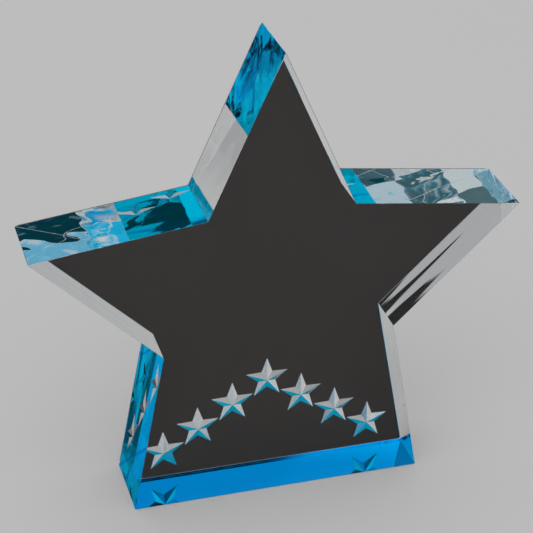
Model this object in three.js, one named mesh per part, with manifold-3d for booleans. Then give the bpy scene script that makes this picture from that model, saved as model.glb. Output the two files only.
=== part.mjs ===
// Star-shaped crystal award: a thick, clear five-pointed slab that stands on its flat foot.
// A mirrored blue sheet covers the underside, a smoke-grey panel covers the back, and seven small
// faceted recesses carved into the back of the crystal are lined with silver stars.
// Millimetres, +Z up. The origin lies on the table, under the middle of the award.
// The front, which faces -Y, is flat and bare.

import * as THREE from 'three';
import { mergeVertices } from 'three/addons/utils/BufferGeometryUtils.js';
import Module from 'manifold-3d';

// The whole award, with the layers that are bonded to it.
const awardHeight = 152.4;
const awardWidth = 154.8;
const awardDepth = 25.4;

// From the middle of the star to its inner corners, before the outline is drawn to its width.
const innerCornerRadius = 40.7;

// Polished chamfer along every edge of the front and back faces of the crystal.
const edgeChamfer = 0.4;

// The layers bonded to the underside and to the back of the crystal.
const baseMirrorThickness = 0.5;
const backPanelThickness = 0.4;

// A small star: the depth of its recess at the middle, and how far out its inner corners lie.
const recessDepth = 1.65;
const smallInnerShare = 0.41;

// Gap between a silver star and the crystal and panel round it.
const starClearance = 0.3;

// The row of small stars climbs from both sides of the foot to the one in the middle.
const smallStarsPerSide = 3;
const rowSideMargin = 3.8;
const rowTipGap = 0.18;
const rowRise = 7.5;
const outerStarHeight = 10.5;

// How far a cutting solid runs past the face that it cuts.
const cutOverrun = 1;

const pointCount = 5;
const halfPointAngle = Math.PI / pointCount;

// A star this tall from the line through its two lowest tips to its top tip has this radius.
const tipRadius = awardHeight / (1 + Math.cos(halfPointAngle));
const starCentreHeight = tipRadius * Math.cos(halfPointAngle);

// A regular star is a little wider than the award, so every outline is narrowed alike.
const widthShare = awardWidth / (2 * tipRadius * Math.cos(halfPointAngle / 2));

// Each side tip of a small star comes level with the foot tip of the next one, but for the gap.
// The row fills the foot between its margins, which settles how wide a small star is.
const rowStepCount = 2 * smallStarsPerSide;
const tipToFootShare = Math.cos(halfPointAngle);
const rowWidth = 2 * (legHalfWidth(outerStarHeight) - rowSideMargin);
const smallStarWidth = (rowWidth - rowStepCount * rowTipGap) / (rowStepCount * tipToFootShare + 1);
const smallTipRadius = smallStarWidth / (2 * widthShare * Math.cos(halfPointAngle / 2));
const rowSpacing = tipToFootShare * smallStarWidth + rowTipGap;

const frontY = -awardDepth / 2;
const panelBackY = awardDepth / 2;
const crystalBackY = panelBackY - backPanelThickness;

const wasm = await Module();
wasm.setup();

// The corners of an upright star, anticlockwise from its top tip: tip, inner corner, tip, and so on.
function starCorners(tip, inner, centreX, centreZ) {
  const corners = [];
  for (let i = 0; i < 2 * pointCount; i++) {
    const angle = Math.PI / 2 + i * halfPointAngle;
    const radius = i % 2 === 0 ? tip : inner;
    const x = centreX + widthShare * radius * Math.cos(angle);
    corners.push(new THREE.Vector2(x, centreZ + radius * Math.sin(angle)));
  }
  return corners;
}

// The award's own outline: a star whose lowest inner corner is filled, so that it has a flat foot.
function awardCorners() {
  const corners = starCorners(tipRadius, innerCornerRadius, 0, starCentreHeight);
  const lowestInner = pointCount;
  corners.splice(lowestInner, 1);
  return corners;
}

// Half the width of the award between the outer sides of its legs, at a height above the table.
function legHalfWidth(height) {
  const corners = awardCorners();
  const foot = corners[pointCount];
  const innerCorner = corners[pointCount + 1];
  const share = (height - foot.y) / (innerCorner.y - foot.y);
  return foot.clone().lerp(innerCorner, share).x;
}

// The same outline cut off level at the top of the blue sheet, which carries the crystal.
function crystalCorners() {
  const halfWidth = legHalfWidth(baseMirrorThickness);
  return awardCorners().map((corner) => {
    if (corner.y > baseMirrorThickness) {
      return corner;
    }
    return new THREE.Vector2(Math.sign(corner.x) * halfWidth, baseMirrorThickness);
  });
}

// Moves every side of an anticlockwise outline inwards by the same distance.
function insetCorners(corners, distance) {
  const count = corners.length;
  return corners.map((corner, i) => {
    const before = corners[(i + count - 1) % count];
    const after = corners[(i + 1) % count];
    const inDirection = corner.clone().sub(before).normalize();
    const outDirection = after.clone().sub(corner).normalize();
    const inNormal = new THREE.Vector2(-inDirection.y, inDirection.x);
    const outNormal = new THREE.Vector2(-outDirection.y, outDirection.x);
    const miter = inNormal.clone().add(outNormal).normalize();
    return corner.clone().addScaledVector(miter, distance / miter.dot(inNormal));
  });
}

// Least distance from an outline's middle to the straight lines through its sides.
function sideDistance(corners, centre) {
  const distances = corners.map((corner, i) => {
    const next = corners[(i + 1) % corners.length];
    const side = next.clone().sub(corner).normalize();
    return Math.abs(side.cross(centre.clone().sub(corner)));
  });
  return Math.min(...distances);
}

// Turns a shape drawn in X and Z and extruded towards the front, so that it starts at backY.
function standUp(geometry, backY) {
  geometry.rotateX(Math.PI / 2);
  geometry.translate(0, backY, 0);
  return geometry;
}

// A star with an upright rim between backY and rimY. Ten facets rise from the rim's front edge to
// apexY, and ten more run from its back edge to hollowY, which is backY where the back is flat.
function facetedStar(corners, centre, backY, rimY, apexY, hollowY) {
  const count = corners.length;
  const vertices = [];
  for (const y of [backY, rimY]) {
    for (const corner of corners) {
      vertices.push(corner.x, y, corner.y);
    }
  }
  const hollow = 2 * count;
  const apex = hollow + 1;
  vertices.push(centre.x, hollowY, centre.y);
  vertices.push(centre.x, apexY, centre.y);

  const triangles = [];
  for (let i = 0; i < count; i++) {
    const next = (i + 1) % count;
    triangles.push(hollow, next, i);
    triangles.push(i, next, next + count);
    triangles.push(i, next + count, i + count);
    triangles.push(apex, i + count, next + count);
  }
  const geometry = new THREE.BufferGeometry();
  geometry.setAttribute('position', new THREE.Float32BufferAttribute(vertices, 3));
  geometry.setIndex(triangles);
  return geometry;
}

function toSolid(geometry) {
  const bare = geometry.clone();
  bare.deleteAttribute('normal');
  bare.deleteAttribute('uv');
  const merged = mergeVertices(bare);
  const vertProperties = new Float32Array(merged.attributes.position.array);
  const triVerts = new Uint32Array(merged.index.array);
  return new wasm.Manifold(new wasm.Mesh({ numProp: 3, vertProperties, triVerts }));
}

function toGeometry(solid) {
  const mesh = solid.getMesh();
  const geometry = new THREE.BufferGeometry();
  geometry.setAttribute('position', new THREE.BufferAttribute(mesh.vertProperties, 3));
  geometry.setIndex(new THREE.BufferAttribute(mesh.triVerts, 1));
  return geometry;
}

// The middle of each small star, from the left end of the row to the right.
function smallStarCentres() {
  const centres = [];
  for (let place = -smallStarsPerSide; place <= smallStarsPerSide; place++) {
    const steps = smallStarsPerSide - Math.abs(place);
    centres.push(new THREE.Vector2(place * rowSpacing, outerStarHeight + steps * rowRise));
  }
  return centres;
}

function recessCorners(centre) {
  return starCorners(smallTipRadius, smallInnerShare * smallTipRadius, centre.x, centre.y);
}

// The crystal: the star with its chamfers, less the recesses carved into its back.
function crystalGeometry() {
  const slab = new THREE.ExtrudeGeometry(new THREE.Shape(crystalCorners()), {
    depth: crystalBackY - frontY - 2 * edgeChamfer,
    bevelEnabled: true,
    bevelThickness: edgeChamfer,
    bevelSize: edgeChamfer,
    bevelOffset: -edgeChamfer,
    bevelSegments: 1,
  });
  let solid = toSolid(standUp(slab, crystalBackY - edgeChamfer));
  for (const centre of smallStarCentres()) {
    const corners = recessCorners(centre);
    const cutterBackY = crystalBackY + cutOverrun;
    const apexY = crystalBackY - recessDepth;
    const recess = facetedStar(corners, centre, cutterBackY, crystalBackY, apexY, cutterBackY);
    solid = solid.subtract(toSolid(recess));
  }
  return toGeometry(solid);
}

// The panel covers the flat of the back, inside the chamfer, and is open at each small star.
function backPanelGeometry() {
  const outline = new THREE.Shape(insetCorners(crystalCorners(), edgeChamfer));
  for (const centre of smallStarCentres()) {
    outline.holes.push(new THREE.Path(recessCorners(centre)));
  }
  const panel = new THREE.ExtrudeGeometry(outline, {
    depth: backPanelThickness,
    bevelEnabled: false,
  });
  return standUp(panel, panelBackY);
}

// The blue sheet covers the flat of the underside, inside the chamfers of the crystal.
function baseMirrorMesh() {
  const halfWidth = legHalfWidth(baseMirrorThickness) - edgeChamfer;
  const depth = crystalBackY - frontY - 2 * edgeChamfer;
  const mesh = new THREE.Mesh(
    new THREE.BoxGeometry(2 * halfWidth, depth, baseMirrorThickness),
    new THREE.MeshStandardMaterial({ color: 0x0078bf, roughness: 0.12, metalness: 0.9 }),
  );
  mesh.name = 'blue_base_mirror';
  mesh.position.set(0, (frontY + crystalBackY) / 2, baseMirrorThickness / 2);
  return mesh;
}

// A silver star is a thin faceted shell that lines its recess. It keeps the clearance all round,
// ends flush with the panel, and is as thick at its middle as at its rim.
function silverStarMesh(centre, number) {
  const corners = recessCorners(centre);
  const reach = sideDistance(corners, centre);
  const size = 1 - starClearance / reach;
  const slopeLength = Math.hypot(reach, recessDepth) / reach;
  const apexY = crystalBackY - recessDepth + starClearance * slopeLength;
  const rimY = apexY + recessDepth * size;
  const hollowY = apexY + panelBackY - rimY;
  const starTipRadius = size * smallTipRadius;
  const smaller = starCorners(starTipRadius, smallInnerShare * starTipRadius, 0, 0);
  const middle = new THREE.Vector2(0, 0);
  const mesh = new THREE.Mesh(
    facetedStar(smaller, middle, panelBackY, rimY, apexY, hollowY),
    new THREE.MeshStandardMaterial({ color: 0xb4b4b4, roughness: 0.2, metalness: 1 }),
  );
  mesh.name = `silver_star_${number}`;
  mesh.position.set(centre.x, 0, centre.y);
  return mesh;
}

function crystalMesh() {
  const mesh = new THREE.Mesh(
    crystalGeometry(),
    new THREE.MeshStandardMaterial({ color: 0xe6f2f6, roughness: 0.02, metalness: 0 }),
  );
  mesh.name = 'crystal_star_block';
  return mesh;
}

function backPanelMesh() {
  const mesh = new THREE.Mesh(
    backPanelGeometry(),
    new THREE.MeshStandardMaterial({ color: 0x343332, roughness: 0.45, metalness: 0 }),
  );
  mesh.name = 'smoke_back_panel';
  return mesh;
}

const award = new THREE.Group();
award.add(crystalMesh());
award.add(backPanelMesh());
award.add(baseMirrorMesh());
smallStarCentres().forEach((centre, i) => award.add(silverStarMesh(centre, i + 1)));

export default award;
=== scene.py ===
# %% [markdown]
# A star-shaped crystal award.
# The real award is one slab of polished crystal, cut as a five-pointed star that stands on a flat
# foot. Three things are bonded to it: a blue mirror under the foot, a smoke-grey sheet on the
# back, and a bright lining in each of seven small star-shaped recesses. The model around which
# this lesson works has every piece at its real size, so the first step is to load it and to keep
# its pieces, whose boxes give the sizes.

# %% Load the fixed frame
import math

import bpy
import numpy as np
from mathutils import Euler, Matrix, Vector
from mathutils.geometry import tessellate_polygon


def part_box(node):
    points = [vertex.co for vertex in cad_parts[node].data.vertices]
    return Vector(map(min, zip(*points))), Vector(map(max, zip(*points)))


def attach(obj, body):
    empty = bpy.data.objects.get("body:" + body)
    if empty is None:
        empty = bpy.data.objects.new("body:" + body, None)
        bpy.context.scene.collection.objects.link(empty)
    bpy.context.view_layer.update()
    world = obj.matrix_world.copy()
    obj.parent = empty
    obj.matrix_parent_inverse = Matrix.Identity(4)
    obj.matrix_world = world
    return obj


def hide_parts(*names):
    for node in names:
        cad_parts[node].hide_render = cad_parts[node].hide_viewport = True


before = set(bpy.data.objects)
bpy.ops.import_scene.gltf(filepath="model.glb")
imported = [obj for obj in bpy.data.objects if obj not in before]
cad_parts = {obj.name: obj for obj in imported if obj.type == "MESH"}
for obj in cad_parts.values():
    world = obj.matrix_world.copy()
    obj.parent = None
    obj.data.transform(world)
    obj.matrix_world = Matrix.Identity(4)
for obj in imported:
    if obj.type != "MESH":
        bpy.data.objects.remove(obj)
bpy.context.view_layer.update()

print("pieces in the frame:", sorted(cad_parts))

# %% [markdown]
# The camera.
# A photograph fixes the camera by the lines in it. Here the outline of the star, its depth and the
# camera were solved together, so the camera is stated as it came out: where its axis meets the
# middle plane of the award, from which side and how high it looks, its distance and its lens. It
# leans by less than a degree, which one turn about its own axis adds.

# %% Set the camera
CAMERA_AIM = Vector((-0.0012, 0.0, 0.0759))
CAMERA_DISTANCE = 0.5402
CAMERA_AZIMUTH = math.radians(-16.58)
CAMERA_ELEVATION = math.radians(29.34)
CAMERA_ROLL = math.radians(0.80)
CAMERA_LENS = 116.8
SENSOR_WIDTH = 36.0


def place_camera():
    """The camera stands back from its aim along a unit vector given by azimuth and elevation."""
    level = math.cos(CAMERA_ELEVATION)
    back = Vector((math.sin(CAMERA_AZIMUTH) * level, -math.cos(CAMERA_AZIMUTH) * level,
                   math.sin(CAMERA_ELEVATION)))
    camera = bpy.data.objects.new("camera", bpy.data.cameras.new("camera"))
    camera.data.lens = CAMERA_LENS
    camera.data.sensor_width = SENSOR_WIDTH
    camera.location = CAMERA_AIM + back * CAMERA_DISTANCE
    lean = Euler((0, 0, CAMERA_ROLL)).to_matrix()
    turned = (-back).to_track_quat("-Z", "Y").to_matrix() @ lean
    camera.rotation_euler = turned.to_euler()
    bpy.context.scene.collection.objects.link(camera)
    bpy.context.scene.camera = camera
    return camera


camera = place_camera()
print("camera at", [round(c, 4) for c in camera.location])

# %% [markdown]
# The star's outline.
# Tracing the star by hand would give nine loose points. It is a regular star instead, so a tip
# radius, an inner radius and a slight narrowing say it all, and the same formula gives the small
# stars. The tip radius follows from the height of the award and the narrowing from its width. The
# lowest inner corner is left out, which leaves the flat foot. The real blue film is far thinner
# than its solid in the frame, so the crystal comes down almost to the table.

# %% Work out the outline from the frame
POINT_COUNT = 5
HALF_POINT_ANGLE = math.pi / POINT_COUNT
INNER_CORNER_RADIUS = 0.0407
FOOT_RISE = 0.00006


def star_outline(tip_radius, inner_radius, narrowing, centre):
    """Corner i of an upright star lies at the angle 90 + 36 i degrees, at the tip radius where i is
    even and at the inner radius where it is odd. Its x is then narrowed."""
    i = np.arange(2 * POINT_COUNT)
    angle = math.pi / 2 + i * HALF_POINT_ANGLE
    radius = np.where(i % 2 == 0, tip_radius, inner_radius)
    return np.column_stack([centre[0] + narrowing * radius * np.cos(angle),
                            centre[1] + radius * np.sin(angle)])


block_low, block_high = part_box("crystal_star_block")
tip_radius = block_high.z / (1 + math.cos(HALF_POINT_ANGLE))
star_centre = (0.0, tip_radius * math.cos(HALF_POINT_ANGLE))
narrowing = (block_high.x - block_low.x) / (2 * tip_radius * math.cos(HALF_POINT_ANGLE / 2))


def block_outline(rise):
    """The award's outline, with each foot moved up its leg to a height above the table:
    foot + (inner corner - foot) * rise / height of the inner corner."""
    star = star_outline(tip_radius, INNER_CORNER_RADIUS, narrowing, star_centre)
    outline = np.delete(star, POINT_COUNT, axis=0)
    for foot, above in ((POINT_COUNT - 1, POINT_COUNT - 2), (POINT_COUNT, POINT_COUNT + 1)):
        outline[foot] += (outline[above] - outline[foot]) * rise / outline[above][1]
    return outline


award_outline = block_outline(FOOT_RISE)
print("outline in millimetres:", np.round(1000 * award_outline, 1).tolist())

# %% [markdown]
# The small stars.
# Each one lines a recess in the back of the crystal, and the frame leaves a working gap round it.
# The real lining touches the crystal, so the recess is found from the frame's star by putting the
# gap back. All recesses are equally deep. Their ten facets meet a little below the middle and to
# the left of it, which settles which facets mirror the room and which the blue foot.

# %% Measure the small stars
SMALL_STAR_COUNT = 7
SMALL_INNER_SHARE = 0.41
STAR_GAP = 0.0003
RECESS_DEPTH = 0.00165
DEEPEST_SHIFT = np.array([-0.0001, -0.0002])


def small_star(number):
    """Centre and tip radius of the recess round one silver star. The star and its recess are
    alike in shape, so their sizes differ by the gap over the distance to a side."""
    low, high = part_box(f"silver_star_{number}")
    tip = (high.z - low.z) / (1 + math.cos(HALF_POINT_ANGLE))
    centre = ((low.x + high.x) / 2, high.z - tip)
    star = star_outline(tip, SMALL_INNER_SHARE * tip, narrowing, (0.0, 0.0))
    side = star[1] - star[0]
    reach = abs(side[0] * star[0][1] - side[1] * star[0][0]) / np.linalg.norm(side)
    return {"number": number, "centre": centre, "tip": tip * (reach + STAR_GAP) / reach}


small_stars = [small_star(n + 1) for n in range(SMALL_STAR_COUNT)]
for s in small_stars:
    print("star", s["number"], "at", [round(1000 * c, 1) for c in s["centre"]],
          "tip radius", round(1000 * s["tip"], 2))

# %% [markdown]
# Outlines that shrink and round.
# A polished edge is a set of outlines, each a little further in than the last. Scaling an outline
# would move its corners too far, so each side is moved by the same distance and the corners
# follow. Cut crystal isn't sharp at its tips either, so every corner becomes a small arc.

# %% Inset and round an outline
LEAST_ARC_SHARE = 0.1


def unit(rows):
    """Each row divided by its length."""
    return rows / np.linalg.norm(rows, axis=-1, keepdims=True)


def contour(outline, inset, radius, steps):
    """The outline with its sides moved in by inset and its corners rounded. With b and n the inward
    normals before and after a corner, an arc of signed radius r is centred at
    corner + (inset + r) (b + n) / (1 + b.n), and its points are centre - r b, with b turned
    towards n in steps."""
    side = unit(np.roll(outline, -1, axis=0) - outline)
    after = np.column_stack([-side[:, 1], side[:, 0]])
    before = np.roll(after, 1, axis=0)
    turn = np.arctan2(before[:, 0] * after[:, 1] - before[:, 1] * after[:, 0],
                      (before * after).sum(axis=1))
    least = radius * LEAST_ARC_SHARE
    arc = np.where(turn > 0, np.maximum(radius - inset, least), -radius - inset)
    miter = (before + after) / (1 + (before * after).sum(axis=1, keepdims=True))
    centre = outline + miter * (inset + arc)[:, None]
    angle = turn[:, None] * np.linspace(0, 1, steps)
    cos, sin = np.cos(angle), np.sin(angle)
    normal = np.stack([before[:, :1] * cos - before[:, 1:] * sin,
                       before[:, :1] * sin + before[:, 1:] * cos], axis=-1)
    return (centre[:, None] - arc[:, None, None] * normal).reshape(-1, 2)


def quarter_round(size, steps):
    """(inset, rise) pairs from a wall to a face: size (1 - cos a), size sin a for a up to 90."""
    a = np.linspace(0, math.pi / 2, steps)
    return size * (1 - np.cos(a)), size * np.sin(a)


print("a rounded star has", len(contour(award_outline, 0.0, 0.001, 4)), "points")

# %% [markdown]
# Plates from outlines.
# The crystal and the smoke sheet are plates: a wall carried round an outline and two flat faces.
# Stacking rings of points keeps full control of the edges, where a Boolean would leave slivers. A
# plate is made lying down, which keeps its outline in plain x and y.

# %% Build walls, faces and plates


def raised(ring, height):
    """The points of a ring, all at one height."""
    return np.column_stack([ring, np.full(len(ring), height)])


def wall_faces(first, rings, count, hollow):
    """Quads between neighbouring rings of count points. A hollow's quads turn the other way."""
    ring, i = np.meshgrid(np.arange(rings - 1), np.arange(count), indexing="ij")
    a = first + ring * count + i
    b = first + ring * count + (i + 1) % count
    quads = np.stack([a, b, b + count, a + count], axis=-1).reshape(-1, 4)
    return (quads[:, ::-1] if hollow else quads).tolist()


def flat_faces(points, loops, upward):
    """Triangles that fill the first loop and leave the others open. Each one is turned so that
    the sign of its area says upward or downward."""
    corners = [[Vector((*points[i][:2], 0)) for i in loop] for loop in loops]
    order = np.concatenate(loops)
    triangles = order[np.array(tessellate_polygon(corners))]
    p = points[triangles][:, :, :2]
    u, v = p[:, 1] - p[:, 0], p[:, 2] - p[:, 0]
    area = u[:, 0] * v[:, 1] - u[:, 1] * v[:, 0]
    wrong = (area > 0) != upward
    triangles[wrong] = triangles[wrong][:, ::-1]
    return triangles.tolist()


def plate(loops, profile, corner_radius, steps):
    """Points and faces of a lying plate. loops holds its outline and its holes, and profile the
    (inset, height) of each ring from the bottom face to the top face. A hole grows by the inset."""
    points, faces, bottoms, tops = [], [], [], []
    first = 0
    for number, loop in enumerate(loops):
        hollow = number > 0
        way, radius, arc_steps = (-1, 0, 1) if hollow else (1, corner_radius, steps)
        rings = [raised(contour(loop, way * inset, radius, arc_steps), height)
                 for inset, height in profile]
        count = len(rings[0])
        points += rings
        faces += wall_faces(first, len(rings), count, hollow)
        bottoms.append(np.arange(first, first + count))
        first += count * len(rings)
        tops.append(np.arange(first - count, first))
    points = np.concatenate(points)
    faces += flat_faces(points, bottoms, False) + flat_faces(points, tops, True)
    return points, faces


square = np.array([(0, 0), (1, 0), (1, 1), (0, 1)])
print("a square plate has", len(plate([square], [(0, 0), (0, 1)], 0, 1)[1]), "faces")

# %% [markdown]
# From plates to pieces.
# A lying plate is stood up by a quarter turn about X, so its top becomes the front. Every piece
# then needs the same few things: a mesh and its finish, the body that it moves with, and the piece
# of the frame that it stands for, which it hides.

# %% Stand a plate up and make it a piece


def stand(points):
    """A quarter turn about X: (u, v, w) becomes (u, -w, v)."""
    return np.column_stack([points[:, 0], -points[:, 2], points[:, 1]])


def make_piece(name, points, faces, replaced, slot, finish):
    """A mesh object in place, with its material and its body, which hides the node it stands for.
    The slot is not used.
    """
    mesh = bpy.data.meshes.new(name)
    mesh.from_pydata(points.tolist(), [], faces)
    mesh.validate()
    mesh.materials.append(finish)
    piece = bpy.data.objects.new(name, mesh)
    bpy.context.scene.collection.objects.link(piece)
    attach(piece, "root")
    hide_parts(replaced)
    print(name, "has", len(points), "points and", len(faces), "faces")
    return piece


print("standing up turns the top towards", stand(np.array([[0, 0, 1]]))[0].tolist())

# %% [markdown]
# Nodes in few words.
# A finish is a small network of nodes, and most of them do one of four things: calculate, cut a
# soft step into a value, multiply masks, or lay one colour over another. A helper for each keeps
# the finishes short enough to read.

# %% Write helpers for nodes


def math_node(nodes, operation, *values):
    """A Math node whose inputs are sockets or plain numbers. Returns its output."""
    node = nodes.new("ShaderNodeMath")
    node.operation = operation
    for socket, value in zip(node.inputs, values):
        if isinstance(value, bpy.types.NodeSocket):
            node.id_data.links.new(value, socket)
        else:
            socket.default_value = value
    return node.outputs[0]


def step_node(nodes, value, low, high):
    """0 at low, 1 at high and smooth between, whichever of the two is the larger number."""
    node = nodes.new("ShaderNodeMapRange")
    node.interpolation_type = "SMOOTHSTEP"
    node.inputs["From Min"].default_value = low
    node.inputs["From Max"].default_value = high
    node.id_data.links.new(value, node.inputs["Value"])
    return node.outputs["Result"]


def product(nodes, *values):
    """The product of several masks."""
    result = values[0]
    for value in values[1:]:
        result = math_node(nodes, "MULTIPLY", result, value)
    return result


def blend(owner, factor, low, high):
    """A colour between low and high, each a socket or plain numbers."""
    mix = owner.node_tree.nodes.new("ShaderNodeMix")
    mix.data_type = "RGBA"
    for name, value in (("A", low), ("B", high)):
        if isinstance(value, bpy.types.NodeSocket):
            owner.node_tree.links.new(value, mix.inputs[name])
        else:
            mix.inputs[name].default_value = (*value, 1)
    owner.node_tree.links.new(factor, mix.inputs["Factor"])
    return mix.outputs["Result"]


def lay(owner, colour, tint, *masks):
    """The colour with a tint laid over it, as far as all the masks agree."""
    return blend(owner, product(owner.node_tree.nodes, *masks), colour, tint)


def new_material(name):
    """A node material. Returns it with its nodes and its Principled BSDF."""
    material = bpy.data.materials.new(name)
    material.use_nodes = True
    return material, material.node_tree.nodes, material.node_tree.nodes["Principled BSDF"]


def add_group(material, group, **values):
    """Places a node group in a material and sets its inputs."""
    node = material.node_tree.nodes.new("ShaderNodeGroup")
    node.node_tree = group
    for label, value in values.items():
        node.inputs[label].default_value = value
    return node


print("node helpers:", [f.__name__ for f in (math_node, step_node, product, blend, lay)])

# %% [markdown]
# Shared effects.
# Nothing real has exactly one colour all over, so every finish but the silver carries a faint
# cloudy density. Polishing by hand leaves a slow waviness on the cut sides, which is what draws
# the reflections in real crystal into swirls. Each of the two is a node group that gives out a
# value between 0 and 1.

# %% Build the shared node groups
WAVE_DETAIL = 0.2
WAVE_DISTORTION = 0.4


def new_group(name, inputs, output):
    """A shader node group with float inputs (name, default) and one named float output."""
    group = bpy.data.node_groups.new(name, "ShaderNodeTree")
    for label, default in inputs:
        socket = group.interface.new_socket(label, in_out="INPUT", socket_type="NodeSocketFloat")
        socket.default_value = default
    group.interface.new_socket(output, in_out="OUTPUT", socket_type="NodeSocketFloat")
    return group, group.nodes.new("NodeGroupInput"), group.nodes.new("NodeGroupOutput")


def cloud_group():
    """Noise on Object coordinates: scale is in features per metre."""
    group, given, result = new_group("cloudy_density", [("Scale", 60), ("Detail", 3)], "Value")
    place = group.nodes.new("ShaderNodeTexCoord")
    noise = group.nodes.new("ShaderNodeTexNoise")
    group.links.new(place.outputs["Object"], noise.inputs["Vector"])
    group.links.new(given.outputs["Scale"], noise.inputs["Scale"])
    group.links.new(given.outputs["Detail"], noise.inputs["Detail"])
    group.links.new(noise.outputs["Fac"], result.inputs["Value"])
    return group


def polish_group():
    """Slow waves that run along the cut sides, because the wheel runs that way. U is the way along
    the outline and V the way across. The share of a face that looks sideways is 1 - |normal y|,
    so the front and the back stay flat."""
    group, given, result = new_group("polish_waves", [("Along", 20), ("Across", 200)], "Height")
    nodes, links = group.nodes, group.links
    place = nodes.new("ShaderNodeTexCoord")
    stretch = nodes.new("ShaderNodeCombineXYZ")
    scaled = nodes.new("ShaderNodeVectorMath")
    scaled.operation = "MULTIPLY"
    links.new(given.outputs["Along"], stretch.inputs["X"])
    links.new(given.outputs["Across"], stretch.inputs["Y"])
    links.new(place.outputs["UV"], scaled.inputs[0])
    links.new(stretch.outputs["Vector"], scaled.inputs[1])
    noise = nodes.new("ShaderNodeTexNoise")
    noise.inputs["Scale"].default_value = 1.0
    noise.inputs["Detail"].default_value = WAVE_DETAIL
    noise.inputs["Distortion"].default_value = WAVE_DISTORTION
    links.new(scaled.outputs["Vector"], noise.inputs["Vector"])
    surface = nodes.new("ShaderNodeNewGeometry")
    split = nodes.new("ShaderNodeSeparateXYZ")
    links.new(surface.outputs["True Normal"], split.inputs["Vector"])
    facing = math_node(nodes, "ABSOLUTE", split.outputs["Y"])
    sideways = math_node(nodes, "SUBTRACT", 1.0, facing)
    height = math_node(nodes, "MULTIPLY", noise.outputs["Fac"], sideways)
    links.new(height, result.inputs["Height"])
    return group


cloudy_density = cloud_group()
polish_waves = polish_group()
print("node groups:", cloudy_density.name, polish_waves.name)

# %% [markdown]
# The clear crystal.
# Optical crystal bends light by an index of about 1.5, and everything that makes a crystal award
# lively follows from that: sides that turn into mirrors, and views that jump at each edge. So the
# finish is full transmission without any roughness. Waves from polishing go in as bump, because
# they are a tenth of a millimetre high over several centimetres. The faint grey of thick crystal
# drifts a little through the block.

# %% Make the clear crystal
CRYSTAL_INDEX = 1.5
CRYSTAL_CLOUDS = {"Scale": 20, "Detail": 2}
CRYSTAL_TINTS = ((0.82, 0.84, 0.85), (0.85, 0.86, 0.86))
POLISHING = {"Along": 14, "Across": 130}
POLISHING_HEIGHT = 0.00012


def crystal_finish():
    """Clear crystal with slow polishing waves on the cut sides."""
    material, nodes, shader = new_material("clear_crystal")
    links = material.node_tree.links
    shader.inputs["Transmission Weight"].default_value = 1.0
    shader.inputs["IOR"].default_value = CRYSTAL_INDEX
    shader.inputs["Roughness"].default_value = 0.0
    waves = add_group(material, polish_waves, **POLISHING)
    bump = nodes.new("ShaderNodeBump")
    bump.inputs["Strength"].default_value = 1.0
    bump.inputs["Distance"].default_value = POLISHING_HEIGHT
    links.new(waves.outputs["Height"], bump.inputs["Height"])
    links.new(bump.outputs["Normal"], shader.inputs["Normal"])
    cloud = add_group(material, cloudy_density, **CRYSTAL_CLOUDS)
    links.new(blend(material, cloud.outputs["Value"], *CRYSTAL_TINTS), shader.inputs["Base Color"])
    return material


clear_crystal = crystal_finish()
print("finish:", clear_crystal.name, "with an index of", CRYSTAL_INDEX)

# %% [markdown]
# The blue mirror.
# The film under the foot is a blue metal mirror on the side that is bonded to the crystal, and
# painted blue on the outside. One mesh carries both: a face belongs to the inner side where its
# normal looks towards a point inside the crystal. Light that reached the film from the dull smoke
# sheet would come back blue and stain the sheet, which the photograph doesn't show, so for such
# light the film is a neutral grey.

# %% Make the blue mirror
BLUE_CLOUDS = {"Scale": 35, "Detail": 3}
BLUE_MIRROR_TINTS = ((0.0, 0.60, 0.96), (0.0, 0.67, 1.0))
BLUE_PAINT_TINTS = ((0.0, 0.33, 0.70), (0.0, 0.36, 0.75))
BLUE_GLANCING_TINT = (0.0, 0.75, 1.0, 1.0)
BLUE_FOR_DULL_LIGHT = (0.75, 0.75, 0.75)
BLUE_MIRROR_ROUGHNESS = 0.02
BLUE_PAINT_ROUGHNESS = 0.35
POINT_INSIDE = (0.0, 0.0, 0.01)
INWARD = (0.0, -0.002)
AFTER_DULL = (0.25, 0.75)


def faces_inward(nodes):
    """1 where the normal n at a place p looks towards the inside point c: where (p - c).n < 0."""
    surface = nodes.new("ShaderNodeNewGeometry")
    place = nodes.new("ShaderNodeTexCoord")
    away = nodes.new("ShaderNodeVectorMath")
    away.operation = "SUBTRACT"
    away.inputs[1].default_value = POINT_INSIDE
    facing = nodes.new("ShaderNodeVectorMath")
    facing.operation = "DOT_PRODUCT"
    links = away.id_data.links
    links.new(place.outputs["Object"], away.inputs[0])
    links.new(away.outputs["Vector"], facing.inputs[0])
    links.new(surface.outputs["Normal"], facing.inputs[1])
    return step_node(nodes, facing.outputs["Value"], *INWARD)


def blue_finish():
    """A blue mirror on the inner side and blue paint on the outer side."""
    material, nodes, shader = new_material("blue_mirror")
    links = material.node_tree.links
    shader.inputs["Specular Tint"].default_value = BLUE_GLANCING_TINT
    cloud = add_group(material, cloudy_density, **BLUE_CLOUDS)
    silvered = blend(material, cloud.outputs["Value"], *BLUE_MIRROR_TINTS)
    painted = blend(material, cloud.outputs["Value"], *BLUE_PAINT_TINTS)
    path = nodes.new("ShaderNodeLightPath")
    dull = step_node(nodes, path.outputs["Diffuse Depth"], *AFTER_DULL)
    silvered = blend(material, dull, silvered, BLUE_FOR_DULL_LIGHT)
    inner = faces_inward(nodes)
    links.new(blend(material, inner, painted, silvered), shader.inputs["Base Color"])
    links.new(inner, shader.inputs["Metallic"])
    smoother = BLUE_MIRROR_ROUGHNESS - BLUE_PAINT_ROUGHNESS
    rough = math_node(nodes, "MULTIPLY_ADD", inner, smoother, BLUE_PAINT_ROUGHNESS)
    links.new(rough, shader.inputs["Roughness"])
    return material


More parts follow.
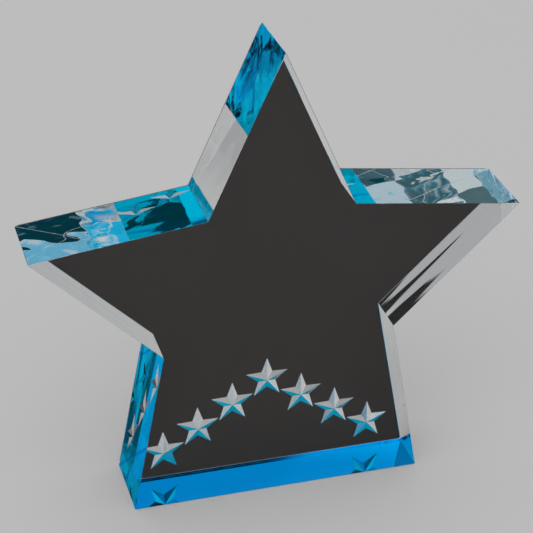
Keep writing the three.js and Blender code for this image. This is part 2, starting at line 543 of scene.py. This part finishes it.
blue_mirror = blue_finish()
print("finish:", blue_mirror.name, "from", BLUE_MIRROR_TINTS[0], "to", BLUE_MIRROR_TINTS[1])

# %% [markdown]
# The brushed silver.
# The linings are bright metal with fine upright brush marks. Noise gives such marks when it is
# stretched: many features to the metre across the marks, and few along them. The same noise
# changes the colour and the roughness a little, as real brushing does.

# %% Make the brushed silver
BRUSH_MARKS = (2600, 2600, 160)
SILVER_TINTS = ((0.90, 0.90, 0.89), (0.96, 0.96, 0.95))
SILVER_ROUGHNESS = 0.10
BRUSHED_ROUGHNESS = 0.08


def silver_finish():
    """Silver with fine upright brush marks: noise stretched along Z."""
    material, nodes, shader = new_material("brushed_silver")
    links = material.node_tree.links
    shader.inputs["Metallic"].default_value = 1.0
    place = nodes.new("ShaderNodeTexCoord")
    stretch = nodes.new("ShaderNodeMapping")
    stretch.inputs["Scale"].default_value = BRUSH_MARKS
    noise = nodes.new("ShaderNodeTexNoise")
    noise.inputs["Scale"].default_value = 1.0
    links.new(place.outputs["Object"], stretch.inputs["Vector"])
    links.new(stretch.outputs["Vector"], noise.inputs["Vector"])
    mark = noise.outputs["Fac"]
    links.new(blend(material, mark, *SILVER_TINTS), shader.inputs["Base Color"])
    rough = math_node(nodes, "MULTIPLY_ADD", mark, BRUSHED_ROUGHNESS, SILVER_ROUGHNESS)
    links.new(rough, shader.inputs["Roughness"])
    return material


brushed_silver = silver_finish()
print("finish:", brushed_silver.name, "with marks to the metre:", BRUSH_MARKS)

# %% [markdown]
# The smoke grey.
# Seen straight through the crystal the back is an even dark grey, and yet the cut sides of the
# award stay bright. A black sheet would darken them too, because most of what they show has
# bounced off the back. So the sheet is dark for a plain look and opens, by its alpha, for two
# kinds of light: light that meets the back too flat to leave the crystal, where the Fresnel share
# is 1, and light that has already bounced inside. Behind the open sheet is the polished back of
# the crystal, which mirrors that light.

# %% Make the smoke grey
SMOKE_CLOUDS = {"Scale": 25, "Detail": 2}
SMOKE_TINTS = ((0.099, 0.090, 0.086), (0.103, 0.094, 0.090))
SMOKE_ROUGHNESS = 0.5
SMOKE_GLOSS = 0.1
TOTAL_SHARE = 0.5
FIRST_HIT = 1.5


def smoke_finish():
    """Smoke grey with an alpha of 1 - max(too flat, bounced before)."""
    material, nodes, shader = new_material("smoke_grey")
    links = material.node_tree.links
    shader.inputs["Roughness"].default_value = SMOKE_ROUGHNESS
    shader.inputs["Specular IOR Level"].default_value = SMOKE_GLOSS
    cloud = add_group(material, cloudy_density, **SMOKE_CLOUDS)
    links.new(blend(material, cloud.outputs["Value"], *SMOKE_TINTS), shader.inputs["Base Color"])
    path = nodes.new("ShaderNodeLightPath")
    share = nodes.new("ShaderNodeFresnel")
    share.inputs["IOR"].default_value = 1 / CRYSTAL_INDEX
    flat = math_node(nodes, "GREATER_THAN", share.outputs["Fac"], TOTAL_SHARE)
    flat = product(nodes, flat, path.outputs["Is Transmission Ray"])
    deep = math_node(nodes, "GREATER_THAN", path.outputs["Ray Depth"], FIRST_HIT)
    clean = math_node(nodes, "SUBTRACT", 1.0, path.outputs["Is Diffuse Ray"])
    opening = math_node(nodes, "MAXIMUM", flat, product(nodes, deep, clean))
    links.new(math_node(nodes, "SUBTRACT", 1.0, opening), shader.inputs["Alpha"])
    return material


smoke_grey = smoke_finish()
print("finish:", smoke_grey.name, "with a base colour of", SMOKE_TINTS[0])

# %% [markdown]
# The crystal.
# It is a plate whose outline is the star. Both faces end in a small polished round, and the back
# face is open at seven stars. Ten facets sink from each of those openings to one deepest point.

# %% Build the crystal block
EDGE_ROUND = 0.00012
EDGE_STEPS = 4
CORNER_RADIUS = 0.00012
CORNER_STEPS = 4


def recess_outline(star, scale=1.0):
    """The outline of one recess, scaled about the star's centre."""
    tip = star["tip"] * scale
    return star_outline(tip, SMALL_INNER_SHARE * tip, narrowing, star["centre"])


def rounded_profile(bottom, top, size):
    """(inset, height) rings of a wall with a quarter round at its foot and at its head."""
    inset, rise = quarter_round(size, EDGE_STEPS)
    foot = list(zip(inset[::-1], bottom + size - rise[::-1]))
    head = list(zip(inset, top - size + rise))
    return foot + head


def crystal_mesh():
    """The star plate, less a pyramid of ten facets at each small star."""
    bottom, top = -block_high.y, -block_low.y
    rings = [raised(contour(award_outline, inset, CORNER_RADIUS, CORNER_STEPS), height)
             for inset, height in rounded_profile(bottom, top, EDGE_ROUND)]
    count = len(rings[0])
    points = rings.copy()
    faces = wall_faces(0, len(rings), count, False)
    first = count * len(rings)
    openings = []
    for star in small_stars:
        rim = raised(recess_outline(star), bottom)
        deepest = np.array([[*(star["centre"] + DEEPEST_SHIFT), bottom + RECESS_DEPTH]])
        points += [rim, deepest]
        i = np.arange(len(rim))
        ring = first + i
        after = first + (i + 1) % len(rim)
        apex = np.full(len(rim), first + len(rim))
        faces += np.column_stack([after, ring, apex]).tolist()
        openings.append(ring)
        first += len(rim) + 1
    points = np.concatenate(points)
    back = [np.arange(count)] + openings
    front = [np.arange(count * (len(rings) - 1), count * len(rings))]
    faces += flat_faces(points, back, False) + flat_faces(points, front, True)
    return stand(points), faces


crystal = make_piece("crystal_body", *crystal_mesh(), "crystal_star_block", "crystal",
                     clear_crystal)

# %% [markdown]
# A map for the polishing waves.
# The waves follow the cut sides round the star, so they need to know how far along the outline a
# place lies. A UV map in metres says so, and only the wall needs it.

# %% Map the cut sides


def map_polish(piece):
    """A UV map in metres for the wall's quads, which are the first faces of the mesh: U runs along
    the outline and V is the place in Y. All other faces keep (0, 0)."""
    ring = contour(award_outline, 0.0, CORNER_RADIUS, CORNER_STEPS)
    step = np.linalg.norm(np.roll(ring, -1, axis=0) - ring, axis=1)
    end = np.cumsum(step)
    start = end - step
    i = np.tile(np.arange(len(ring)), 2 * EDGE_STEPS - 1)
    u = np.stack([start[i], end[i], end[i], start[i]], axis=-1).ravel()
    corner = np.empty(len(piece.data.loops), int)
    piece.data.loops.foreach_get("vertex_index", corner)
    y = np.array([v.co.y for v in piece.data.vertices])[corner]
    uv = np.zeros((len(corner), 2))
    uv[:len(u), 0], uv[:len(u), 1] = u, y[:len(u)]
    piece.data.uv_layers.new(name="polish").data.foreach_set("uv", uv.ravel())
    return end[-1]


print("the outline is", round(1000 * map_polish(crystal), 1), "mm long")

# %% [markdown]
# The smoke sheet.
# It is bonded to the flat of the back and is open at the small stars. Its front lies a hair inside
# the crystal, so that a look straight through meets the sheet and no film of air before it. It
# keeps a hair inside the star's outline too, and its foot stops a millimetre above the table,
# where the blue film takes over.

# %% Build the smoke sheet
SHEET_BOND = 0.00003
SHEET_BEVEL = 0.00008
SHEET_INSET = 0.00003
SHEET_FOOT = 0.00095
SHEET_CORNER_RADIUS = 0.0006

panel_low, panel_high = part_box("smoke_back_panel")


def smoke_mesh():
    """A plate with star-shaped holes and a fine bevel round its back face."""
    outline = contour(block_outline(SHEET_FOOT - SHEET_INSET), SHEET_INSET, 0.0, 1)
    bottom, top = -panel_high.y, -panel_low.y + SHEET_BOND
    holes = [recess_outline(star) for star in small_stars]
    profile = [(SHEET_BEVEL, bottom), (0.0, bottom + SHEET_BEVEL), (0.0, top)]
    points, faces = plate([outline, *holes], profile, SHEET_CORNER_RADIUS, CORNER_STEPS)
    return stand(points), faces


make_piece("smoke_sheet", *smoke_mesh(), "smoke_back_panel", "smoke_panel", smoke_grey)

# %% [markdown]
# The blue film.
# It is bonded to the foot without any air, or the crystal would mirror its own foot instead. So
# the film's inner side is a hair inside the crystal, where a ray meets the film first. It is
# wrapped round the two long edges of the foot, and goes up the back almost to the smoke sheet,
# which is why the photo shows a darker line of blue along the sheet. That makes it a profile in y
# and z carried along x, rather than a plate.

# %% Build the blue film
BOND = 0.00005
WRAP_GAP = 0.00014
WRAP_TOP = SHEET_FOOT - WRAP_GAP


def blue_mesh():
    """A closed outline in y and z, carried along x: the outer side, then the inner side, each a
    quarter round c + r (sin a, -cos a) up each long edge, and a strip up the back."""
    a = np.linspace(0, math.pi / 2, EDGE_STEPS + 1)
    centre_z = FOOT_RISE + EDGE_ROUND
    sides = []
    for size, edge in ((EDGE_ROUND + BOND, BOND), (EDGE_ROUND - BOND, -BOND)):
        turn = np.column_stack([size * np.sin(a), centre_z - size * np.cos(a)])
        front = turn[::-1] * (-1, 1) + (block_low.y + EDGE_ROUND, 0)
        rear = turn + (block_high.y - EDGE_ROUND, 0)
        strip = np.array([(block_high.y + edge, WRAP_TOP)])
        sides.append(np.concatenate([front, rear, strip]))
    ring = np.concatenate([sides[0], sides[1][::-1]])
    count = len(ring)
    half = np.abs(award_outline[POINT_COUNT][0]) - BOND
    ends = [np.column_stack([np.full(count, x), ring]) for x in (-half, half)]
    caps = [list(range(count))[::-1], list(range(count, 2 * count))]
    return np.concatenate(ends), wall_faces(0, 2, count, False) + caps


make_piece("blue_foot_mirror", *blue_mesh(), "blue_base_mirror", "blue_mirror", blue_mirror)

# %% [markdown]
# The silver linings.
# Each lining is a thin shell of ten facets. Its front lies a hair inside the crystal, for the same
# reason as the blue film, and its back is hollow, so the award shows ten dished facets from behind.

# %% Build the silver linings
LINING_SCALE = 1.02
LINING_THICKNESS = 0.00025


def lining_mesh(star):
    """Two rings of ten corners and two middle points. The facets in front run from the front ring
    to the deepest point, and those behind from the back ring to a point one thickness behind it."""
    corners = recess_outline(star, LINING_SCALE)
    count = len(corners)
    back, rim = -panel_high.y + SHEET_BEVEL, -block_high.y
    deepest = rim + RECESS_DEPTH * LINING_SCALE
    middle = star["centre"] + DEEPEST_SHIFT
    middles = np.array([(*middle, deepest - LINING_THICKNESS), (*middle, deepest)])
    points = np.concatenate([raised(corners, back), raised(corners, rim), middles])
    i = np.arange(count)
    after = (i + 1) % count
    hollow, apex = np.full(count, 2 * count), np.full(count, 2 * count + 1)
    faces = wall_faces(0, 2, count, False)
    faces += np.column_stack([after, i, hollow]).tolist()
    faces += np.column_stack([count + i, count + after, apex]).tolist()
    return stand(points), faces


for star in small_stars:
    number = star["number"]
    make_piece(f"silver_lining_{number}", *lining_mesh(star), f"silver_star_{number}",
               "silver", brushed_silver)

# %% [markdown]
# The floor.
# A pale floor reaches far behind the award, so it is all that the camera sees there. Crystal has
# no colour of its own and shows what it stands on, bent and mirrored many times. In the photo that
# is brighter close to the award, shaded behind its right half, and blue in streaks and swirls, as
# where a blue mirror throws its light. So the floor is plain to the camera, and only for light that
# has passed through crystal it carries painted light and shade: painted light near the award and far
# in front, a small painted bright spot, a painted dark blue shade far behind to the left, a painted
# shadow behind its right half, and painted blue caustics in streaks and swirls. What polished faces
# mirror of it is painted dark before the award and to its left, as through a polarising filter.

# %% Finish the floor
FLOOR_CLOUDS = {"Scale": 3, "Detail": 2}
FLOOR_TINTS = ((0.64, 0.64, 0.64), (0.66, 0.66, 0.66))
FLOOR_ROUGHNESS = 0.9
FLOOR_GLOSS = 0.1

# Painted light and shade on the floor, which only crystal shows: light near the award, a bright
# spot, a dark blue shade far behind to the left, caustics in streaks and swirls, a shadow behind the
# right half and light far in front.
PAINTED_LIGHT_BLOB_NEAR = ((0.0, 0.02), 0.30)
PAINTED_BRIGHT_SPOT = ((0.070, 0.120), 0.024)
PAINTED_SHADE_BLOB_DISTANT = ((-3.5, 5.0), 6.0)
PAINTED_CAUSTIC_BLOB_BEHIND = ((0.100, 0.105), 0.036)
PAINTED_CAUSTIC_BLOB_FRONT = ((0.082, -0.118), 0.045)
PAINTED_LIGHT_COLOUR_NEAR = (0.87, 0.84, 0.83)
PAINTED_BRIGHT_SPOT_TINT = (0.95, 0.98, 1.0)
PAINTED_SHADE_TINT_DISTANT = (0.06, 0.22, 0.31)
PAINTED_CAUSTIC_STREAK_TINT = (0.0, 0.50, 0.95)
PAINTED_CAUSTIC_SWIRL_TINT = (0.02, 0.62, 1.0)

SHADE_FROM_X = (0.0, 0.02)
SHADE_FROM_Y = (0.025, 0.045)
PAINTED_LIGHT_Y_EDGE_FAR = (-0.17, -0.30)
PAINTED_LIGHT_Y_EDGE_FARTHER = (-0.5, -0.9)
SHADE_COLOUR = (0.74, 0.74, 0.74)
PAINTED_LIGHT_TINT_FAR = (0.84, 0.84, 0.84)
PAINTED_LIGHT_TINT_FARTHER = (0.93, 0.98, 1.0)

SWIRL_SCALE = 28
SWIRL_DETAIL = 1
SWIRL_DISTORTION = 1.5
STREAK_EDGE = (0.36, 0.46)
SWIRL_EDGE = (0.42, 0.54)

# The painted dark reflection of the floor in polished faces, before the award and to its left.
PAINTED_DARK_REFLECTION_Y_EDGE = (0.01, -0.02)
PAINTED_DARK_REFLECTION_X_EDGE = (-0.035, -0.045)
PAINTED_DARK_REFLECTION = (0.004, 0.012, 0.016)


def blob(nodes, place, centre, size):
    """A round mask on the floor: 0 from its size outwards and 1 within half its size."""
    apart = nodes.new("ShaderNodeVectorMath")
    apart.operation = "DISTANCE"
    apart.inputs[1].default_value = (*centre, 0.0)
    nodes.id_data.links.new(place, apart.inputs[0])
    return step_node(nodes, apart.outputs["Value"], size, 0.5 * size)


def floor_through_crystal(material, pale, place, x, y, through):
    """The floor as crystal shows it, with painted light and shade: painted light near the award, a
    painted shadow behind its right half, painted light far in front, one small painted bright spot,
    a painted dark blue shade far behind to the left, and painted blue caustics as streaks behind and
    swirls in front."""
    nodes = material.node_tree.nodes
    # Painted light near the award.
    near = blob(nodes, place, *PAINTED_LIGHT_BLOB_NEAR)
    colour = lay(material, pale, PAINTED_LIGHT_COLOUR_NEAR, near, through)
    # A painted shadow behind the award's right half.
    right = step_node(nodes, x, *SHADE_FROM_X)
    behind = step_node(nodes, y, *SHADE_FROM_Y)
    colour = lay(material, colour, SHADE_COLOUR, right, behind, near, through)
    # Painted light far in front.
    for edge, tint in ((PAINTED_LIGHT_Y_EDGE_FAR, PAINTED_LIGHT_TINT_FAR), (PAINTED_LIGHT_Y_EDGE_FARTHER, PAINTED_LIGHT_TINT_FARTHER)):
        colour = lay(material, colour, tint, step_node(nodes, y, *edge), through)
    # A small painted bright spot, and a painted dark blue shade far behind to the left.
    for patch, tint in ((PAINTED_BRIGHT_SPOT, PAINTED_BRIGHT_SPOT_TINT), (PAINTED_SHADE_BLOB_DISTANT, PAINTED_SHADE_TINT_DISTANT)):
        colour = lay(material, colour, tint, blob(nodes, place, *patch), through)
    swirl = nodes.new("ShaderNodeTexNoise")
    swirl.inputs["Scale"].default_value = SWIRL_SCALE
    swirl.inputs["Detail"].default_value = SWIRL_DETAIL
    swirl.inputs["Distortion"].default_value = SWIRL_DISTORTION
    nodes.id_data.links.new(place, swirl.inputs["Vector"])
    # Painted blue caustics: streaks behind the award and swirls in front.
    for patch, edge, tint in ((PAINTED_CAUSTIC_BLOB_BEHIND, STREAK_EDGE, PAINTED_CAUSTIC_STREAK_TINT),
                              (PAINTED_CAUSTIC_BLOB_FRONT, SWIRL_EDGE, PAINTED_CAUSTIC_SWIRL_TINT)):
        lines = step_node(nodes, swirl.outputs["Fac"], *edge)
        colour = lay(material, colour, tint, blob(nodes, place, *patch), through, lines)
    return colour


def floor_finish():
    """A pale, dull floor with the faintest unevenness, its painted light and shade for crystal, and
    its painted dark reflection for polished faces."""
    material, nodes, shader = new_material("pale_floor")
    links = material.node_tree.links
    shader.inputs["Roughness"].default_value = FLOOR_ROUGHNESS
    shader.inputs["Specular IOR Level"].default_value = FLOOR_GLOSS
    cloud = add_group(material, cloudy_density, **FLOOR_CLOUDS)
    pale = blend(material, cloud.outputs["Value"], *FLOOR_TINTS)
    path = nodes.new("ShaderNodeLightPath")
    through = path.outputs["Is Transmission Ray"]
    mirrored = math_node(nodes, "SUBTRACT", path.outputs["Is Glossy Ray"], through)
    place = nodes.new("ShaderNodeTexCoord").outputs["Object"]
    way = nodes.new("ShaderNodeSeparateXYZ")
    links.new(place, way.inputs["Vector"])
    x, y = way.outputs["X"], way.outputs["Y"]
    colour = floor_through_crystal(material, pale, place, x, y, through)
    # The painted dark reflection, before the award and to its left.
    before = step_node(nodes, y, *PAINTED_DARK_REFLECTION_Y_EDGE)
    aside = step_node(nodes, x, *PAINTED_DARK_REFLECTION_X_EDGE)
    dark = math_node(nodes, "MAXIMUM", before, aside)
    links.new(lay(material, colour, PAINTED_DARK_REFLECTION, dark, mirrored), shader.inputs["Base Color"])
    return material


pale_floor = floor_finish()
print("finish:", pale_floor.name, "with a base colour of", FLOOR_TINTS[0])

# %% [markdown]
# Laying the floor.
# It is one level square, a hair under the award, so that the underside of the blue film and the
# floor never share a place.

# %% Lay the floor
FLOOR_HALF_SIZE = 6.0
FLOOR_DROP = 0.00002


def lay_floor():
    """A level square."""
    mesh = bpy.data.meshes.new("floor")
    reach = FLOOR_HALF_SIZE
    corners = [(-reach, -reach), (reach, -reach), (reach, reach), (-reach, reach)]
    mesh.from_pydata([(x, y, -FLOOR_DROP) for x, y in corners], [], [(0, 1, 2, 3)])
    mesh.materials.append(pale_floor)
    floor = bpy.data.objects.new("floor", mesh)
    bpy.context.scene.collection.objects.link(floor)


lay_floor()
print("the floor is", 2 * FLOOR_HALF_SIZE, "m wide")

# %% [markdown]
# The room behind the award.
# Crystal shows the room as well, and a real one is a studio: cards, a window, walls and dark
# corners. Each is a soft-edged area of directions, where x points to the right, y away behind the
# award and z up. Behind the award stands a white card with blue above it, shade to its right, and
# blue and mist to its left. Then comes a grey wall, which is paler lower down, and a dark corner.

# %% Furnish the room behind
CARD_WHITE = (0.84, 0.86, 0.88)
SKY_BLUE = (0.17, 0.50, 0.72)
MIST_BLUE = (0.52, 0.62, 0.67)
SHADE_BLUE = (0.20, 0.40, 0.50)
ABOVE_BLUE = (0.50, 0.74, 1.0)
HIGHER_BLUE = (0.30, 0.44, 0.70)
WALL_PALE = (0.61, 0.64, 0.64)
WALL_GREY = (0.45, 0.45, 0.46)
CORNER_LOW = (0.06, 0.09, 0.10)
CORNER_DARK = (0.006, 0.005, 0.005)
CORNER_DUSK = (0.10, 0.26, 0.42)

CARD_FROM_X = (-0.06, 0.0)
MIST_FROM_Z = (0.46, 0.49)
LOW_SHADE_FROM_X = (0.22, 0.25)
LOW_SHADE_BELOW_Z = (0.405, 0.385)
SHADE_FROM_RIGHT = (0.29, 0.33)
ABOVE_FROM_X = (-0.16, -0.10)
ABOVE_FROM_Z = (0.52, 0.54)
HIGHER_FROM_Z = (0.57, 0.585)
WALL_FROM_LEFT = (-0.31, -0.37)
WALL_GREY_FROM_Z = (0.30, 0.33)
CORNER_SLOPE = 0.608
CORNER_END = (-0.006, 0.003)
CORNER_DARK_FROM_Z = (0.08, 0.14)
CORNER_DUSK_FROM_Z = (0.39, 0.42)


def room_behind(world, x, y, z):
    """The card, what is above and beside it, the wall and the corner. The corner begins where
    x + slope * y falls below 0, which is one upright line in the room."""
    nodes = world.node_tree.nodes
    colour = blend(world, step_node(nodes, z, *MIST_FROM_Z), SKY_BLUE, MIST_BLUE)
    colour = lay(world, colour, CARD_WHITE, step_node(nodes, x, *CARD_FROM_X))
    low = product(nodes, step_node(nodes, x, *LOW_SHADE_FROM_X),
                  step_node(nodes, z, *LOW_SHADE_BELOW_Z))
    shade = math_node(nodes, "MAXIMUM", low, step_node(nodes, x, *SHADE_FROM_RIGHT))
    colour = lay(world, colour, SHADE_BLUE, shade)
    high = blend(world, step_node(nodes, z, *HIGHER_FROM_Z), ABOVE_BLUE, HIGHER_BLUE)
    colour = lay(world, colour, high, step_node(nodes, z, *ABOVE_FROM_Z),
                 step_node(nodes, x, *ABOVE_FROM_X))
    wall = blend(world, step_node(nodes, z, *WALL_GREY_FROM_Z), WALL_PALE, WALL_GREY)
    colour = lay(world, colour, wall, step_node(nodes, x, *WALL_FROM_LEFT))
    corner = blend(world, step_node(nodes, z, *CORNER_DARK_FROM_Z), CORNER_LOW, CORNER_DARK)
    corner = lay(world, corner, CORNER_DUSK, step_node(nodes, z, *CORNER_DUSK_FROM_Z))
    aside = math_node(nodes, "MULTIPLY_ADD", y, CORNER_SLOPE, x)
    return lay(world, corner, colour, step_node(nodes, aside, *CORNER_END))


print("behind the award: a white card, blue and mist, a grey wall and a dark corner")

# %% [markdown]
# The room in front.
# It is dim, with bluish patches of light that come from noise and so have no pattern. They are
# fewer at the lower left, in the middle and high up on the right. A bright band lies at the right,
# and low down runs a pale horizon, which is taller at the far left. The far right is a grey wall.

# %% Furnish the room in front
FRONT_DARK = (0.002, 0.010, 0.015)
FRONT_MURK = (0.09, 0.13, 0.15)
FRONT_PATCH = (0.44, 0.58, 0.80)
FRONT_BAND = (0.50, 0.95, 1.0)

LEFT_FROM_X = (-0.16, -0.24)
LEFT_LOW_Z = (0.47, 0.43)
RIGHT_FROM_X = (0.0, 0.06)
RIGHT_HIGH_Z = (0.48, 0.51)
MIDDLE_FROM_X = (-0.12, -0.08)
MIDDLE_TO_X = (0.06, 0.0)
FEWER_LEFT = 0.2
FEWER_HIGH = 0.03
FEWER_MIDDLE = 0.10
PATCH_EDGE = (0.40, 0.56)
BAND_FROM_Z = (0.39, 0.405)
BAND_TO_Z = (0.49, 0.46)
DIP_FROM_X = (0.20, 0.23)
DIP_TO_X = (0.29, 0.27)
DIP_SHARE = 0.7
MURK_FROM_Z = (0.46, 0.48)
HORIZON_BELOW_Z = (0.205, 0.15)
TALL_HORIZON_FROM_X = (-0.44, -0.47)
TALL_HORIZON_BELOW_Z = (0.25, 0.21)
GREY_FROM_RIGHT = (0.55, 0.62)


def room_in_front(world, x, z, noise):
    """A dim room with patches where the noise is high enough, the band, the horizon and the wall."""
    nodes = world.node_tree.nodes
    left = step_node(nodes, x, *LEFT_FROM_X)
    right = step_node(nodes, x, *RIGHT_FROM_X)
    high = product(nodes, right, step_node(nodes, z, *RIGHT_HIGH_Z))
    middle = product(nodes, step_node(nodes, x, *MIDDLE_FROM_X),
                     step_node(nodes, x, *MIDDLE_TO_X), FEWER_MIDDLE)
    fewer = product(nodes, left, step_node(nodes, z, *LEFT_LOW_Z), FEWER_LEFT)
    fewer = math_node(nodes, "MAXIMUM", fewer, product(nodes, high, FEWER_HIGH))
    fewer = math_node(nodes, "MAXIMUM", fewer, middle)
    noise = math_node(nodes, "SUBTRACT", noise, fewer)
    dip = product(nodes, step_node(nodes, x, *DIP_FROM_X), step_node(nodes, x, *DIP_TO_X),
                  DIP_SHARE)
    band = product(nodes, right, step_node(nodes, z, *BAND_FROM_Z),
                   step_node(nodes, z, *BAND_TO_Z), math_node(nodes, "SUBTRACT", 1.0, dip))
    patches = math_node(nodes, "MAXIMUM", step_node(nodes, noise, *PATCH_EDGE), band)
    dim = lay(world, FRONT_DARK, FRONT_MURK, left, step_node(nodes, z, *MURK_FROM_Z))
    bright = blend(world, math_node(nodes, "MAXIMUM", band, high), FRONT_PATCH, FRONT_BAND)
    colour = lay(world, dim, bright, patches)
    tall = product(nodes, step_node(nodes, x, *TALL_HORIZON_FROM_X),
                   step_node(nodes, z, *TALL_HORIZON_BELOW_Z))
    horizon = math_node(nodes, "MAXIMUM", tall, step_node(nodes, z, *HORIZON_BELOW_Z))
    colour = lay(world, colour, WALL_PALE, horizon)
    return lay(world, colour, WALL_GREY, step_node(nodes, x, *GREY_FROM_RIGHT))


print("in front of the award: a dim room with bluish patches, a band and a pale horizon")

# %% [markdown]
# The window and the ceiling.
# A wide window stands at the far right. The ceiling is grey, with a white card at the right in
# front. Straight above it is dark, a little less so at the right in front.

# %% Join the room
WINDOW_WHITE = (1.0, 1.0, 1.0)
WINDOW_DIM = (0.42, 0.43, 0.44)
WINDOW_WALL = (0.50, 0.52, 0.53)
CEILING_FRONT = (0.41, 0.41, 0.41)
CEILING_BEHIND = (0.38, 0.40, 0.41)
CEILING_CARD = (0.95, 0.95, 0.95)
OVERHEAD_DARK = (0.04, 0.04, 0.04)
OVERHEAD_RIGHT = (0.17, 0.16, 0.16)

BEHIND_FROM_Y = (-0.1, 0.1)
FRONT_FROM_Y = (-0.1, -0.15)
WINDOW_FROM_X = (0.68, 0.76)
WINDOW_FROM_Z = (0.42, 0.46)
WINDOW_TO_Z = (0.64, 0.60)
WINDOW_BRIGHT_FROM_Y = (0.0, 0.1)
CEILING_FROM_Z = (0.66, 0.74)
CEILING_CARD_FROM_X = (0.45, 0.50)
OVERHEAD_FROM_Z = (0.84, 0.88)
OVERHEAD_RIGHT_FROM_X = (0.18, 0.24)


def room_through_crystal(world, way, noise):
    """What crystal shows of the room by direction: behind, in front, right and above."""
    nodes = world.node_tree.nodes
    x, y, z = way.outputs["X"], way.outputs["Y"], way.outputs["Z"]
    behind = step_node(nodes, y, *BEHIND_FROM_Y)
    front = step_node(nodes, y, *FRONT_FROM_Y)
    around = lay(world, room_in_front(world, x, z, noise), room_behind(world, x, y, z), behind)
    pane = blend(world, step_node(nodes, y, *WINDOW_BRIGHT_FROM_Y), WINDOW_DIM, WINDOW_WHITE)
    side = lay(world, WINDOW_WALL, pane, step_node(nodes, z, *WINDOW_FROM_Z),
               step_node(nodes, z, *WINDOW_TO_Z))
    around = lay(world, around, side, step_node(nodes, x, *WINDOW_FROM_X))
    ceiling = blend(world, behind, CEILING_FRONT, CEILING_BEHIND)
    ceiling = lay(world, ceiling, CEILING_CARD, step_node(nodes, x, *CEILING_CARD_FROM_X), front)
    above = lay(world, OVERHEAD_DARK, OVERHEAD_RIGHT,
                step_node(nodes, x, *OVERHEAD_RIGHT_FROM_X), front)
    ceiling = lay(world, ceiling, above, step_node(nodes, z, *OVERHEAD_FROM_Z))
    return lay(world, around, ceiling, step_node(nodes, z, *CEILING_FROM_Z))


print("the window starts at x =", WINDOW_FROM_X[0], "and the ceiling at z =", CEILING_FROM_Z[0])

# %% [markdown]
# Who sees which room.
# A plain world lights dull surfaces evenly, also those behind crystal, and the camera sees it
# pale. Light that has passed through crystal sees the furnished room. Polished faces mirror the
# plain one, which is a dark blue straight behind the award, as through a polarising filter.

# %% Light the room
ROOM_LIGHT = (0.6, 0.6, 0.6)
ROOM_FOR_CAMERA = (0.8, 0.8, 0.8)
ROOM_MIRRORED = (0.0, 0.27, 0.38)
MIRRORED_FROM_Y = (0.70, 0.80)
PATCH_SCALE = 9
PATCH_DETAIL = 1


def light_room():
    """One background colour, chosen by the kind of ray that asks for it."""
    world = bpy.data.worlds.new("room")
    bpy.context.scene.world = world
    world.use_nodes = True
    nodes = world.node_tree.nodes
    links = world.node_tree.links
    place = nodes.new("ShaderNodeTexCoord")
    way = nodes.new("ShaderNodeSeparateXYZ")
    links.new(place.outputs["Generated"], way.inputs["Vector"])
    noise = nodes.new("ShaderNodeTexNoise")
    noise.inputs["Scale"].default_value = PATCH_SCALE
    noise.inputs["Detail"].default_value = PATCH_DETAIL
    links.new(place.outputs["Generated"], noise.inputs["Vector"])
    through = room_through_crystal(world, way, noise.outputs["Fac"])
    behind = step_node(nodes, way.outputs["Y"], *MIRRORED_FROM_Y)
    mirrored = blend(world, behind, ROOM_LIGHT, ROOM_MIRRORED)
    path = nodes.new("ShaderNodeLightPath")
    seen = blend(world, path.outputs["Is Camera Ray"], ROOM_LIGHT, ROOM_FOR_CAMERA)
    seen = lay(world, seen, mirrored, path.outputs["Is Glossy Ray"])
    seen = lay(world, seen, through, path.outputs["Is Transmission Ray"])
    dull = step_node(nodes, path.outputs["Diffuse Depth"], *AFTER_DULL)
    seen = lay(world, seen, ROOM_LIGHT, dull)
    links.new(seen, nodes["Background"].inputs["Color"])


light_room()
print("the room has", len(bpy.context.scene.world.node_tree.nodes), "nodes")

# %% [markdown]
# The lamps.
# Two large soft lamps, one from the upper left in front and one from above, give the award a soft
# shadow on the floor. Small lamps would draw hard bright spots into the crystal, which the photo
# doesn't show.

# %% Hang the lamps
LAMP_AIM = (0.0, 0.0, 0.07)
KEY_LAMP = {"place": (-1.1, -1.0, 1.5), "size": 1.9, "power": 6}
TOP_LAMP = {"place": (0.2, 0.2, 2.2), "size": 2.3, "power": 8}


def add_lamp(name, place, size, power):
    """A square soft lamp at place, turned to the award."""
    lamp = bpy.data.lights.new(name, "AREA")
    lamp.size = size
    lamp.energy = power
    holder = bpy.data.objects.new(name, lamp)
    holder.location = place
    toward = Vector(LAMP_AIM) - Vector(place)
    holder.rotation_euler = toward.to_track_quat("-Z", "Y").to_euler()
    bpy.context.scene.collection.objects.link(holder)


add_lamp("key", **KEY_LAMP)
add_lamp("top", **TOP_LAMP)

# %% [markdown]
# The render settings.
# Light bounces many times inside crystal, so the limits on bounces are raised. The colours are
# shown plainly, without a film look.

# %% Set the bounces and the view
scene = bpy.context.scene
scene.cycles.max_bounces = 24
scene.cycles.transmission_bounces = 24
scene.cycles.glossy_bounces = 12
scene.cycles.diffuse_bounces = 4
scene.cycles.transparent_max_bounces = 16
scene.view_settings.view_transform = "Standard"
print("a ray may bounce", scene.cycles.max_bounces, "times")
